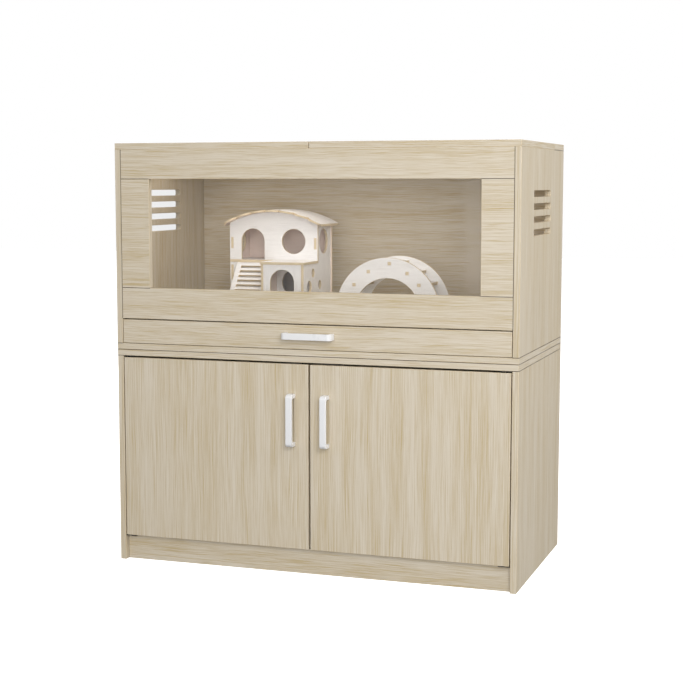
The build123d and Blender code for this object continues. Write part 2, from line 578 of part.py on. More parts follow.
def hinge_pin(x):
    """The pin with a low head at each end."""
    axis_z = TOP + HINGE_AXIS_UP
    reach = HINGE_L / 2 + HINGE_KNUCKLE_GAP
    pin = through_x(HINGE_PIN_R, SEAM, axis_z, (x - reach, x + reach))
    for end in (-1, 1):
        pin += through_x(HINGE_HEAD_R, SEAM, axis_z, (x + end * reach, x + end * (reach + HINGE_HEAD_H)))
    return pin


def lids():
    """Two lids on surface hinges, side by side in front of the fixed strip."""
    fixed_leaves, pins = [], []
    for sign, name in ((-1, "left_lid"), (1, "right_lid")):
        middle = sign * HALF / 2
        leaves, screws = [], []
        for x in (middle - HINGE_FROM_LID_MIDDLE, middle + HINGE_FROM_LID_MIDDLE):
            fixed_leaves.append(hinge_leaf(x, 1, 0))
            leaves.append(hinge_leaf(x, -1, 1))
            pins.append(hinge_pin(x))
            screws += hinge_screws(name, x, -1)
            fixed_screws.extend(hinge_screws("rear_top_strip", x, 1))
        save(name, block(mirrored(sign, SEAM_GAP / 2, HALF), (FRONT, SEAM - SEAM_GAP / 2), (LID_UNDER, TOP)))
        save(name + "_hinge_leaves", *leaves)
        save(name + "_hinge_screws", *screws)
    save("lid_hinge_fixed_leaves", *fixed_leaves)
    save("lid_hinge_pins", *pins)


# ---- drawer ------------------------------------------------------------------
def drawer():
    """Shallow tray drawer under the cage's floor."""
    front_z = (CAGE_FLOOR + DRAWER_FRONT_BOTTOM_GAP, RAIL_LOW - FRONT_GAP)
    side_z = (DRAWER_LOW, DRAWER_LOW + DRAWER_SIDE_H)
    box_y = (FRONT + BOARD, BACK - BOARD - DRAWER_BACK_GAP)
    inside = DRAWER_SIDE_OUT - BOARD
    bottom_z = (DRAWER_LOW + DRAWER_BOTTOM_UP, DRAWER_LOW + DRAWER_BOTTOM_UP + HARDBOARD)
    groove = block((-inside - GROOVE_DEPTH, inside + GROOVE_DEPTH),
                   (FRONT + BOARD - GROOVE_DEPTH, box_y[1] + 1),
                   (bottom_z[0] - GROOVE_CLEAR / 2, bottom_z[1] + GROOVE_CLEAR / 2))
    for name in ("drawer_front", "drawer_left_side", "drawer_right_side"):
        holes[name].append(groove)
    pegs = []
    for sign, side in ((-1, "drawer_left_side"), (1, "drawer_right_side")):
        mid_x = sign * (DRAWER_SIDE_OUT - BOARD / 2)
        mid_z = (bottom_z[1] + side_z[1]) / 2
        for z in (mid_z - DRAWER_PEG_STEP, mid_z + DRAWER_PEG_STEP):
            peg_y = (box_y[0] - DOWEL_SHORT, box_y[0] + DOWEL_LONG)
            pegs.append(through_y(DOWEL_R, mid_x, z, peg_y))
            bore = through_y(DOWEL_R + HOLE_CLEAR, mid_x, z,
                             (peg_y[0] - CAM_HOLE_EXTRA, peg_y[1] + CAM_HOLE_EXTRA))
            holes["drawer_front"].append(bore)
            holes[side].append(bore)
            back_y = box_y[1] - BOARD / 2
            span = (sign * (inside - DOWEL_LONG), sign * (inside + DOWEL_SHORT))
            pegs.append(through_x(DOWEL_R, back_y, z, span))
            hole_span = (sign * (inside - DOWEL_LONG - CAM_HOLE_EXTRA),
                         sign * (inside + DOWEL_SHORT + CAM_HOLE_EXTRA))
            for board in ("drawer_back", side):
                holes[board].append(through_x(DOWEL_R + HOLE_CLEAR, back_y, z, hole_span))
    front_half = INNER - DRAWER_FRONT_SIDE_GAP
    screws = handle_screws("drawer_front", False, 0, DRAWER_HANDLE_Z)
    save("drawer_front", block((-front_half, front_half), (FRONT, FRONT + BOARD), front_z))
    save("drawer_left_side", block((-DRAWER_SIDE_OUT, -inside), box_y, side_z))
    save("drawer_right_side", block((inside, DRAWER_SIDE_OUT), box_y, side_z))
    save("drawer_back", block((-inside, inside), (box_y[1] - BOARD, box_y[1]),
                              (bottom_z[1] + GROOVE_CLEAR, side_z[1])))
    bottom_half = inside + GROOVE_DEPTH - GROOVE_CLEAR
    save("drawer_bottom", block((-bottom_half, bottom_half),
                                (FRONT + BOARD - GROOVE_DEPTH + GROOVE_CLEAR, box_y[1]), bottom_z))
    save("drawer_dowels", *pegs)
    save("drawer_handle", handle(False, 0, DRAWER_HANDLE_Z))
    save("drawer_handle_screws", *screws)


# ---- plywood house -----------------------------------------------------------
def under_roof():
    """Everything below the roof sheet, as a cutter to keep."""
    return through_y(ROOF_R - ROOF_T - TAB_CLEAR, HOUSE_X, ROOF_CENTRE_Z,
                     (HOUSE_FRONT - 1, HOUSE_FRONT + HOUSE_D + 1))


def arch(x, low, high, y):
    """An arched doorway cutter: straight sides under a half-round head."""
    springing = high - ARCH_W / 2
    return (block((x - ARCH_W / 2, x + ARCH_W / 2), y, (low, springing))
            + through_y(ARCH_W / 2, x, springing, y))


def wall_tabs(sign, upper, grow=0.0):
    """Tabs of a side wall through the front and back walls, or their slots with grow."""
    x_in = HOUSE_W / 2 - WALL_INSET - PLY
    base, up, tall = (UPPER, TAB_UPPER_UP, TAB_UPPER_H) if upper else (DECK, TAB_LOWER_UP, TAB_LOWER_H)
    x = sorted((HOUSE_X + sign * (x_in - grow), HOUSE_X + sign * (x_in + PLY + grow)))
    z = (base + up - tall / 2 - grow, base + up + tall / 2 + grow)
    far = HOUSE_FRONT + HOUSE_D
    return [block(x, y, z) for y in ((HOUSE_FRONT - grow, HOUSE_FRONT + PLY), (far - PLY, far + grow))]


def house_walls():
    """Front in two storeys, back, and the side walls tabbed through them."""
    front = (HOUSE_FRONT, HOUSE_FRONT + PLY)
    back = (HOUSE_FRONT + HOUSE_D - PLY, HOUSE_FRONT + HOUSE_D)
    far = (front[0] - 1, front[1] + 1)
    outer = HOUSE_W / 2 - WALL_INSET
    for sign, upper, board in ((-1, True, "house_upper_front"), (1, True, "house_upper_front"),
                               (-1, False, "house_lower_front"), (1, False, None)):
        front_slot, back_slot = wall_tabs(sign, upper, TAB_CLEAR)
        holes["house_back_wall"].append(back_slot)
        if board:
            holes[board].append(front_slot)
    window_x = HOUSE_X + HOUSE_WINDOW_X
    holes["house_upper_front"].append(arch(HOUSE_X + HOUSE_DOOR_X, UPPER - 1, UPPER + HOUSE_DOOR_TOP, far))
    holes["house_upper_front"].append(through_y(HOUSE_WINDOW_R, window_x, UPPER + HOUSE_WINDOW_UP, far))
    holes["house_lower_front"].append(through_y(HOUSE_WINDOW_R, window_x, DECK + INNER_WINDOW_UP, far))
    keep = under_roof()
    ridge = DECK + ROOF_TOP_UP
    save("house_upper_front", block((HOUSE_LEFT, HOUSE_RIGHT), front, (UPPER, ridge)) & keep)
    save("house_lower_front", block((HOUSE_LEFT, HOUSE_X + outer - PLY), front, (DECK, STOREY)))
    save("house_back_wall", block((HOUSE_LEFT, HOUSE_RIGHT), back, (DECK, ridge)) & keep)
    for sign, name in ((-1, "house_left_wall"), (1, "house_right_wall")):
        x = sorted((HOUSE_X + sign * (outer - PLY), HOUSE_X + sign * outer))
        wall = block(x, (front[1], back[0]), (DECK, ridge)) & keep
        if sign > 0:
            wall += block(x, (front[0] - PORCH_D, front[1]), (DECK, STOREY))
        for tab in wall_tabs(sign, True) + wall_tabs(sign, False):
            wall += tab
        through = (x[0] - 1, x[1] + 1)
        wall -= through_x(HOUSE_WINDOW_R, HOUSE_FRONT + SIDE_HOLE_BACK, UPPER + HOUSE_WINDOW_UP, through)
        if sign > 0:
            for dy, up, radius in SMALL_HOLES:
                wall -= through_x(radius, HOUSE_FRONT + dy, DECK + up, through)
        save(name, wall)


def house_floor_and_porch():
    """Upper floor with its balcony, over the porch that stands out in front."""
    porch_left = HOUSE_RIGHT - WALL_INSET - PORCH_W
    porch_right = HOUSE_RIGHT - WALL_INSET
    room_half = HOUSE_W / 2 - WALL_INSET - PLY
    room = block((HOUSE_X - room_half, HOUSE_X + room_half), (HOUSE_FRONT, HOUSE_FRONT + HOUSE_D - PLY),
                 (STOREY, UPPER))
    under_front = block((HOUSE_LEFT, HOUSE_RIGHT), (HOUSE_FRONT - FLOOR_LIP, HOUSE_FRONT + PLY),
                        (STOREY, UPPER))
    balcony = block((porch_left - 1, HOUSE_RIGHT), (HOUSE_FRONT - PORCH_D - PORCH_LIP, HOUSE_FRONT),
                    (STOREY, UPPER))
    save("house_floor", room + under_front + balcony)
    porch_y = (HOUSE_FRONT - PORCH_D, HOUSE_FRONT)
    save("house_porch_side", block((porch_left, porch_left + PLY), porch_y, (DECK, STOREY)))
    middle = (porch_left + porch_right) / 2
    face = block((porch_left + PLY, porch_right - PLY), (porch_y[0], porch_y[0] + PLY), (DECK, STOREY))
    face -= arch(middle, DECK - 1, DECK + PORCH_DOOR_TOP, (porch_y[0] - 1, porch_y[0] + PLY + 1))
    save("house_porch_front", face)


def house_roof():
    """Thin sheet bent to an arc, its front edge cut in shallow lobes."""
    def sheet(y):
        drum = through_y(ROOF_R, HOUSE_X, ROOF_CENTRE_Z, y)
        drum -= through_y(ROOF_R - ROOF_T, HOUSE_X, ROOF_CENTRE_Z, (y[0] - 1, y[1] + 1))
        return drum & block((HOUSE_X - ROOF_W / 2, HOUSE_X + ROOF_W / 2), y,
                            (ROOF_CENTRE_Z, ROOF_CENTRE_Z + ROOF_R + 1))

    edge = HOUSE_FRONT - ROOF_FRONT
    roof = sheet((edge, HOUSE_FRONT + HOUSE_D + ROOF_BACK))
    span = 2 * asin(ROOF_W / 2 / ROOF_R)
    half_lobe = span / ROOF_LOBES / 2 * ROOF_R
    lobe_r = (half_lobe ** 2 + ROOF_LOBE_OUT ** 2) / (2 * ROOF_LOBE_OUT)
    fringe = sheet((edge - ROOF_LOBE_OUT, edge))
    for i in range(ROOF_LOBES):
        tilt = degrees(-span / 2 + (i + 0.5) * span / ROOF_LOBES)
        stick = Pos(0, edge - ROOF_LOBE_OUT + lobe_r, ROOF_R) * Cylinder(lobe_r, 12)
        roof += fringe & (Pos(HOUSE_X, 0, ROOF_CENTRE_Z) * Rot(0, tilt, 0) * stick)
    save("house_roof", roof)


def house_ramp():
    """Steep slotted ramp from the floor to the upper floor's level."""
    top_y = HOUSE_FRONT - RAMP_GAP
    high = STOREY - RAMP_GAP
    rise = high - DECK
    thick = PLY * hypot(RAMP_RUN, rise) / rise
    side = Polyline((top_y, high), (top_y - thick, high), (top_y - thick - RAMP_RUN, DECK),
                    (top_y - RAMP_RUN, DECK), close=True)
    x = HOUSE_X + HOUSE_DOOR_X + RAMP_RIGHT
    ramp = Plane(origin=(x - RAMP_W / 2, 0, 0), x_dir=(0, 1, 0), z_dir=(1, 0, 0)) * extrude(
        make_face(side), RAMP_W)
    for i in range(RAMP_SLOTS):
        drop = RAMP_FIRST_DOWN + i * RAMP_PITCH
        at = Pos(x, top_y - drop * RAMP_RUN / rise - thick / 2, high - drop)
        at = at * Rot(-degrees(atan2(RAMP_RUN, rise)), 0, 0)
        ramp -= at * Box(RAMP_SLOT_L, 4 * PLY, RAMP_SLOT_H)
    save("house_ramp", ramp)


# ---- plywood bridge ----------------------------------------------------------
def bridge():
    """Two half rings joined by five level treads tabbed through them."""
    front = MIDDLE_Y + BRIDGE_Y
    treads, slots = [], []
    for dx, up in TREAD_PLACES:
        x, z = BRIDGE_X + dx, DECK + up
        tread = block((x - TREAD_W / 2, x + TREAD_W / 2), (front + PLY, front + BRIDGE_D - PLY),
                      (z - TREAD_T / 2, z + TREAD_T / 2))
        tab = block((x - TREAD_TAB_W / 2, x + TREAD_TAB_W / 2), (front, front + BRIDGE_D),
                    (z - TREAD_T / 2, z + TREAD_T / 2))
        treads.append(tread + tab)
        half = TREAD_TAB_W / 2 + TAB_CLEAR
        slots.append(block((x - half, x + half), (front - 1, front + BRIDGE_D + 1),
                           (z - TREAD_T / 2 - TAB_CLEAR, z + TREAD_T / 2 + TAB_CLEAR)))
    arches = []
    for y in ((front, front + PLY), (front + BRIDGE_D - PLY, front + BRIDGE_D)):
        ring = through_y(BRIDGE_R, BRIDGE_X, DECK, y)
        ring -= through_y(BRIDGE_INNER_R, BRIDGE_X, DECK, (y[0] - 1, y[1] + 1))
        ring &= block((BRIDGE_X - BRIDGE_R - 1, BRIDGE_X + BRIDGE_R + 1), y, (DECK, DECK + BRIDGE_R + 1))
        for slot in slots:
            ring -= slot
        arches.append(ring)
    save("bridge_arches", *arches)
    save("bridge_treads", *treads)


# ---- build -------------------------------------------------------------------
# Every function that drills a board runs before that board is written.
cage_joints()
cabinet()
lids()
window()
cabinet_boards()
cage_boards()
drawer()
house_walls()
house_floor_and_porch()
house_roof()
house_ramp()
bridge()
save("cam_bolts", *cam_bolts)
save("cam_locks", *cam_locks)
save("dowels", *dowels)
save("fixed_screws", *fixed_screws)
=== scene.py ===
import json
import math
import random

import bmesh
import bpy
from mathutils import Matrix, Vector

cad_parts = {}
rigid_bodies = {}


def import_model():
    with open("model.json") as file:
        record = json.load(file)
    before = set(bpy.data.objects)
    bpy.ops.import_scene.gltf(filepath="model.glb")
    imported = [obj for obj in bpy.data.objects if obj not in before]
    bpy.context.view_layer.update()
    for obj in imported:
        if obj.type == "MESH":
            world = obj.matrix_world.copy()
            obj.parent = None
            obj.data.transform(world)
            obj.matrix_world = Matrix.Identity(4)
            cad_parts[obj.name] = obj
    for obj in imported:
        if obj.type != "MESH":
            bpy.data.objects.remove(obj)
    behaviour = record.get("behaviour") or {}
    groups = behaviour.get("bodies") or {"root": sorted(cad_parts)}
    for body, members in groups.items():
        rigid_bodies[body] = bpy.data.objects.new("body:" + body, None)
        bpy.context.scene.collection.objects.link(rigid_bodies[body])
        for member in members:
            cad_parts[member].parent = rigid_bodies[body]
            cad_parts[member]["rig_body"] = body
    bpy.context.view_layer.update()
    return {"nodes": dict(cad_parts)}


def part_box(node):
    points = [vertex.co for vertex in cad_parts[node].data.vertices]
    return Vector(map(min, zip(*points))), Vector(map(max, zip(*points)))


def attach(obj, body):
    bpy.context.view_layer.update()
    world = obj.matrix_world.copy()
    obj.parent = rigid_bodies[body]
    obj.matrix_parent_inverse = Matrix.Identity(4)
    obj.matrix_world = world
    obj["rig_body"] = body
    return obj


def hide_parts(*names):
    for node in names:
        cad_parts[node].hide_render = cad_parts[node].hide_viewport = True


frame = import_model()
X, Y, Z = Vector((1, 0, 0)), Vector((0, 1, 0)), Vector((0, 0, 1))


# ---- Carcass boards of the cabinet and the cage ---------------------------------------------
# 12 mm particleboard faced with an oak-print melamine, its cut edges covered with a thin
# matching band whose arris is eased by hand. Cam locks and dowels draw the boards together,
# and where two of them meet, the eased arrises form a fine groove whose shade is painted
# into them as a dark line.
ARRIS = 0.0007                  # metres, like every length here
WELD = 1e-5                     # corners nearer than this are one
PLACE_DIGITS = 5
FLAT, ROUNDED, CREASE = math.radians(1), math.radians(40), math.radians(25)
ON_FACE = 0.8                   # how squarely a face must look along the sheet's thickness
OAK_LIGHT = (0.650, 0.580, 0.470, 1)
OAK_MID = (0.572, 0.490, 0.362, 1)
OAK_DARK = (0.485, 0.372, 0.190, 1)
OAK_PORE = (0.340, 0.240, 0.130, 1)
# The joint colour is painted shade: the shadow that falls in the groove where two boards meet.
OAK_ARRIS, JOINT_PAINTED_SHADE = (0.660, 0.545, 0.365, 1), (0.160, 0.130, 0.095, 1)
CARCASS = {                     # board: the axis through its thickness, and its grain
    "cabinet_left_side": (X, Z), "cabinet_right_side": (X, Z), "cabinet_top_panel": (Z, X),
    "cabinet_bottom_panel": (Z, X), "plinth": (Y, X), "cage_bottom_panel": (Z, X),
    "cage_left_side": (X, Z), "cage_right_side": (X, Z), "cage_back_panel": (Y, X),
    "cage_floor_panel": (Z, X), "rear_top_strip": (Z, X), "top_rail": (Y, X), "bottom_rail": (Y, X),
    "left_stile": (Y, X), "right_stile": (Y, X)}
FACE, ARRIS_FREE, ARRIS_JOINT, EDGE = 0.0, 0.5, 0.75, 1.0       # values of band
BAND_SLACK = 0.1
NEAR = 1.4 * ARRIS              # how close to a neighbour an arris counts as joined
PRINT_SPREAD, SHEETS_APART = 30, 7


def meeting(node, others):
    """The boxes of the boards that touch this one."""
    low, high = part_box(node)
    boxes = [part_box(other) for other in others if other != node]
    return [(lo, hi) for lo, hi in boxes
            if all(lo[i] - ARRIS < high[i] and hi[i] + ARRIS > low[i] for i in range(3))]


def eased(node, width, segments=2, neighbours=()):
    """A part's shape as a clean mesh of its own, its sharp edges rounded to width. Its faces
    are divided where a neighbour begins or ends, so that an arris can change there."""
    cad = frame["nodes"][node]
    mesh = bpy.data.meshes.new(node)
    mesh.from_pydata([v.co[:] for v in cad.data.vertices], [],
                     [face.vertices[:] for face in cad.data.polygons])
    clean = bmesh.new()
    clean.from_mesh(mesh)
    bmesh.ops.remove_doubles(clean, verts=clean.verts, dist=WELD)
    bmesh.ops.dissolve_limit(clean, angle_limit=FLAT, verts=clean.verts, edges=clean.edges)
    low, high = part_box(node)
    for axis, normal in enumerate((X, Y, Z)):
        places = {round(corner[axis], PLACE_DIGITS) for pair in neighbours for corner in pair}
        for place in sorted(places):
            if low[axis] + 2 * width < place < high[axis] - 2 * width:
                bmesh.ops.bisect_plane(clean, geom=clean.verts[:] + clean.edges[:] + clean.faces[:],
                                       plane_co=normal * place, plane_no=normal)
    clean.to_mesh(mesh)
    clean.free()
    mesh.materials.append(None)
    mesh.materials.append(None)
    blank = bpy.data.objects.new(node + "_blank", mesh)
    bpy.context.scene.collection.objects.link(blank)
    bevel = blank.modifiers.new("arris", "BEVEL")
    bevel.width = width
    bevel.segments = segments
    bevel.limit_method = "ANGLE"
    bevel.angle_limit = ROUNDED
    bevel.material = 1
    bevel.use_clamp_overlap = False
    seen = blank.evaluated_get(bpy.context.evaluated_depsgraph_get())
    shaped = bpy.data.meshes.new_from_object(seen)
    bpy.data.objects.remove(blank)
    shaped.shade_smooth()
    shaped.set_sharp_from_angle(angle=CREASE)
    meets = [set() for _ in shaped.edges]
    for face in shaped.polygons:
        for corner in face.loop_indices:
            meets[shaped.loops[corner].edge_index].add(face.material_index)
    for edge, kinds in zip(shaped.edges, meets):
        edge.use_edge_sharp = edge.use_edge_sharp or len(kinds) == 2
    piece = bpy.data.objects.new(node + "_piece", shaped)
    bpy.context.scene.collection.objects.link(piece)
    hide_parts(node)
    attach(piece, cad["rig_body"])
    return piece


def lay_grain(piece, sheet, grain, neighbours=()):
    """UV in metres, U along the grain or an edge and V across it, and the face attribute
    band, which tells faces, free arrises, arrises at a joint, and edges apart. Each piece
    is cut from its own place in the print, and its two faces from different sheets."""
    mesh = piece.data
    chance = random.Random(piece.name)
    shift = Vector((chance.uniform(0, PRINT_SPREAD), chance.uniform(0, PRINT_SPREAD)))
    low = min(v.co.dot(sheet) for v in mesh.vertices)
    places, kinds = [0.0] * (2 * len(mesh.loops)), []
    for face in mesh.polygons:
        on_face = abs(face.normal.dot(sheet)) > ON_FACE
        if on_face:
            sheet_apart = SHEETS_APART * (face.normal.dot(sheet) > 0)
            u, v, place = grain, sheet.cross(grain), shift + Vector((0, sheet_apart))
        else:
            u, v, place = sheet.cross(face.normal).normalized(), sheet, Vector((shift.x, -low))
        kind = FACE if on_face else EDGE
        if face.material_index == 1:
            at = face.center
            joined = any(all(lo[i] - NEAR < at[i] < hi[i] + NEAR for i in range(3))
                         for lo, hi in neighbours)
            kind = ARRIS_JOINT if joined else ARRIS_FREE
        kinds.append(kind)
        for corner in face.loop_indices:
            at = mesh.vertices[mesh.loops[corner].vertex_index].co
            places[2 * corner:2 * corner + 2] = at.dot(u) + place.x, at.dot(v) + place.y
    mesh.uv_layers.new(name="grain").data.foreach_set("uv", places)
    mesh.attributes.new("band", "FLOAT", "FACE").data.foreach_set("value", kinds)


def finish_with(piece, material):
    piece.data.materials.clear()
    piece.data.materials.append(material)


def add(tree, kind, inputs=None, **settings):
    """A node with its settings; an input is a value, or the output that feeds it."""
    node = tree.nodes.new(kind)
    for key, value in settings.items():
        setattr(node, key, value)
    for key, value in (inputs or {}).items():
        if isinstance(value, bpy.types.NodeSocket):
            tree.links.new(value, node.inputs[key])
        else:
            node.inputs[key].default_value = value
    return node


def new_group(name, inputs, outputs):
    """An empty shader group with its sockets: {name: (type, default)} in, {name: type} out."""
    group = bpy.data.node_groups.new(name, "ShaderNodeTree")
    for key, (kind, value) in inputs.items():
        socket = group.interface.new_socket(key, in_out="INPUT", socket_type="NodeSocket" + kind)
        if value is not None:
            socket.default_value = value
    for key, kind in outputs.items():
        group.interface.new_socket(key, in_out="OUTPUT", socket_type="NodeSocket" + kind)
    return group, group.nodes.new("NodeGroupInput").outputs, group.nodes.new("NodeGroupOutput")


def maths(tree, operation, a, b=0.0, clamp=False):
    return add(tree, "ShaderNodeMath", {0: a, 1: b}, operation=operation, use_clamp=clamp).outputs[0]


def span(tree, value, low, high, to_low=0.0, to_high=1.0):
    """The value from low..high spread over to_low..to_high."""
    return add(tree, "ShaderNodeMapRange", {"Value": value, "From Min": low, "From Max": high,
                                            "To Min": to_low, "To Max": to_high}).outputs["Result"]


def blend(tree, factor, a, b):
    """Colour a turned towards colour b by factor."""
    return add(tree, "ShaderNodeMix", {0: factor, 6: a, 7: b}, data_type="RGBA").outputs[2]


def lines(tree, vector, along, across, detail=2.0, roughness=0.5):
    """Noise drawn out along the grain: along and across are its cells per metre."""
    scale = add(tree, "ShaderNodeCombineXYZ", {"X": along, "Y": across, "Z": 1.0}).outputs[0]
    scaled = add(tree, "ShaderNodeVectorMath", {0: vector, 1: scale}, operation="MULTIPLY").outputs[0]
    return add(tree, "ShaderNodeTexNoise", {"Vector": scaled, "Scale": 1.0, "Detail": detail,
                                            "Roughness": roughness}).outputs["Fac"]


# The print: broad tan bands, fine streaks in two sizes, short pores and thin golden lines,
# all gently bent. The scales are cells per metre along the grain and across it.
wood_print, given, give = new_group(
    "wood_print",
    {"Vector": ("Vector", None), "Light": ("Color", OAK_LIGHT), "Mid": ("Color", OAK_MID),
     "Dark": ("Color", OAK_DARK), "Pore": ("Color", OAK_PORE), "Figure": ("Float", 1.0),
     "Waviness": ("Float", 1.0), "Streaks": ("Float", 12.0)},
    {"Colour": "Color", "Pores": "Float", "Height": "Float"})
grain = given["Vector"]
drift = span(wood_print, lines(wood_print, grain, 4.0, 14.0), 0, 1, -0.006, 0.006)
ripple = span(wood_print, lines(wood_print, grain, 60.0, 110.0, 1.0), 0, 1, -0.0009, 0.0009)
offset = maths(wood_print, "ADD", drift, maths(wood_print, "MULTIPLY", ripple, given["Waviness"]))
bent = add(wood_print, "ShaderNodeVectorMath",
           {0: grain, 1: add(wood_print, "ShaderNodeCombineXYZ", {"Y": offset}).outputs[0]},
           operation="ADD").outputs[0]
bands = lines(wood_print, bent, 1.3, 38.0)
broad = lines(wood_print, bent, given["Streaks"], 500.0, 2.0, 0.6)
fine = lines(wood_print, bent, maths(wood_print, "MULTIPLY", given["Streaks"], 2.2), 1200.0, 2.0, 0.6)
fibres = lines(wood_print, bent, 40.0, 1700.0)
tone = maths(wood_print, "ADD",
             maths(wood_print, "ADD", maths(wood_print, "MULTIPLY", broad, 0.26),
                   maths(wood_print, "MULTIPLY", fine, 0.46)),
             maths(wood_print, "ADD", maths(wood_print, "MULTIPLY", bands, 0.18),
                   maths(wood_print, "MULTIPLY", fibres, 0.10)))
paler = blend(wood_print, span(wood_print, tone, 0.45, 0.53), given["Light"], given["Mid"])
dark_share = maths(wood_print, "MULTIPLY", span(wood_print, tone, 0.51, 0.61), given["Figure"], True)
streaked = blend(wood_print, dark_share, paler, given["Dark"])
pores = span(wood_print, lines(wood_print, bent, 90.0, 2100.0, 1.0), 0.60, 0.72)
pored = maths(wood_print, "MULTIPLY", pores, span(wood_print, tone, 0.46, 0.60))
pore_share = maths(wood_print, "MULTIPLY", pored, 0.4, True)
golden = span(wood_print, lines(wood_print, bent, 3.5, 520.0, 1.0), 0.60, 0.70)
golden_figure = maths(wood_print, "MULTIPLY", given["Figure"], 0.6)
golden = maths(wood_print, "MULTIPLY", golden, golden_figure, True)
streaked = blend(wood_print, golden, streaked, given["Dark"])
wood_print.links.new(blend(wood_print, pore_share, streaked, given["Pore"]), give.inputs["Colour"])
wood_print.links.new(pore_share, give.inputs["Pores"])
wood_print.links.new(maths(wood_print, "SUBTRACT", fine, pore_share), give.inputs["Height"])

# Fingers and cloths leave a faint unevenness in the gloss of every smooth face.
handling, given, give = new_group(
    "handling", {"Low": ("Float", 0.3), "High": ("Float", 0.5), "Size": ("Float", 9.0)},
    {"Roughness": "Float"})
place = add(handling, "ShaderNodeTexCoord").outputs["Object"]
smears = add(handling, "ShaderNodeTexNoise", {"Vector": place, "Scale": given["Size"], "Detail": 4.0,
                                              "Distortion": 0.6}).outputs["Fac"]
handling.links.new(add(handling, "ShaderNodeMapRange",
                       {"Value": smears, "From Min": 0.3, "From Max": 0.7, "To Min": given["Low"],
                        "To Max": given["High"]}).outputs["Result"], give.inputs["Roughness"])


def new_material(name, **plain):
    """A material and its shader, with plain numbers set on the shader's own sockets."""
    material = bpy.data.materials.new(name)
    material.use_nodes = True
    tree = material.node_tree
    shader = tree.nodes["Principled BSDF"]
    for key, value in plain.items():
        shader.inputs[key.replace("_", " ")].default_value = value
    return material, tree, shader


def cloudy(tree, scale, detail, **more):
    """Noise through the body of a piece: scale is its cells per metre."""
    inputs = {"Vector": add(tree, "ShaderNodeTexCoord").outputs["Object"], "Scale": scale,
              "Detail": detail, **more}
    return add(tree, "ShaderNodeTexNoise", inputs).outputs["Fac"]


def handled(tree, low, high, size=9.0):
    """Roughness between low and high from the handling group, size its smears per metre."""
    inputs = {"Low": low, "High": high, "Size": size}
    return add(tree, "ShaderNodeGroup", inputs, node_tree=handling).outputs[0]


def dress(tree, shader, colour, roughness, relief=None, strength=0.0, depth=0.0):
    """Colour and roughness fed to the shader, and a fine relief where there is one."""
    tree.links.new(colour, shader.inputs["Base Color"])
    tree.links.new(roughness, shader.inputs["Roughness"])
    if relief is not None:
        bump = add(tree, "ShaderNodeBump", {"Height": relief, "Strength": strength, "Distance": depth})
        tree.links.new(bump.outputs[0], shader.inputs["Normal"])


def printed_board(name, colours, rough, figure, waviness, streaks):
    """Wood print over a board, golden along its free arrises, and darkened with painted shade in its
    joints.
    """
    material, tree, shader = new_material(name, IOR=1.47)
    grain = add(tree, "ShaderNodeUVMap", uv_map="grain").outputs[0]
    band = add(tree, "ShaderNodeAttribute", attribute_name="band").outputs["Fac"]
    wood = add(tree, "ShaderNodeGroup", {"Vector": grain, "Light": colours[0], "Mid": colours[1],
                                         "Dark": colours[2], "Pore": colours[3], "Figure": figure,
                                         "Waviness": waviness, "Streaks": streaks}, node_tree=wood_print)
    colour = wood.outputs["Colour"]
    # Free arrises turn golden, and arrises at a joint take the painted shade of the groove between the
    # boards.
    for kind, share, over in ((ARRIS_FREE, 0.6, OAK_ARRIS), (ARRIS_JOINT, 1.0, JOINT_PAINTED_SHADE)):
        near = maths(tree, "COMPARE", band, kind)
        near.node.inputs[2].default_value = BAND_SLACK
        colour = blend(tree, maths(tree, "MULTIPLY", near, share), colour, over)
    dull_pores = maths(tree, "MULTIPLY", wood.outputs["Pores"], 0.3)
    dress(tree, shader, colour, maths(tree, "ADD", handled(tree, *rough), dull_pores),
          wood.outputs["Height"], 0.3, 0.0004)
    return material


OAK = (OAK_LIGHT, OAK_MID, OAK_DARK, OAK_PORE)
oak_level = printed_board("oak_melamine_level", OAK, (0.42, 0.54), 1.0, 1.0, 7.0)
oak_upright = printed_board("oak_melamine_upright", OAK, (0.42, 0.54), 0.85, 0.3, 4.0)

for node, (sheet, along) in CARCASS.items():
    neighbours = meeting(node, CARCASS)
    board = eased(node, ARRIS, 2, neighbours)
    lay_grain(board, sheet, along, neighbours)
    finish_with(board, oak_upright if along is Z else oak_level)


# ---- Doors, lids and the drawer's boards ----------------------------------------------------
# Cut from the same oak-print board. The doors have upright grain, the lids and the drawer
# front level grain. The drawer's sides and back are the same board cut low.
for node, sheet, along in (
        ("left_door", Y, Z), ("right_door", Y, Z), ("left_lid", Z, X), ("right_lid", Z, X),
        ("drawer_front", Y, X), ("drawer_left_side", X, Y), ("drawer_right_side", X, Y),
        ("drawer_back", Y, X)):
    board = eased(node, ARRIS)
    lay_grain(board, sheet, along)
    finish_with(board, oak_upright if along is Z else oak_level)


# ---- Hardboard back of the cabinet and bottom of the drawer ---------------------------------
# 3 mm hardboard let into grooves. Its good face carries the same print, thinner and flatter,
# and its other face is bare pressed brown fibre.
SHEET_ARRIS = 0.0002
FIBRE_LIGHT, FIBRE_DARK = (0.30, 0.185, 0.095, 1), (0.20, 0.115, 0.055, 1)
hardboard = printed_board("printed_hardboard", ((0.57, 0.50, 0.40, 1), (0.51, 0.43, 0.32, 1),
                                                (0.43, 0.33, 0.20, 1), (0.30, 0.22, 0.14, 1)),
                          (0.50, 0.62), 0.7, 0.5, 10.0)
bare_fibre, tree, shader = new_material("bare_hardboard", IOR=1.45)
place = add(tree, "ShaderNodeTexCoord").outputs["Object"]
felted = cloudy(tree, 420.0, 5.0, Distortion=1.5)
screen = add(tree, "ShaderNodeTexVoronoi", {"Vector": place, "Scale": 650.0}).outputs["Distance"]
dress(tree, shader, blend(tree, span(tree, felted, 0.35, 0.65), FIBRE_DARK, FIBRE_LIGHT),
      span(tree, felted, 0.3, 0.7, 0.75, 0.92), screen, 0.5, 0.0003)
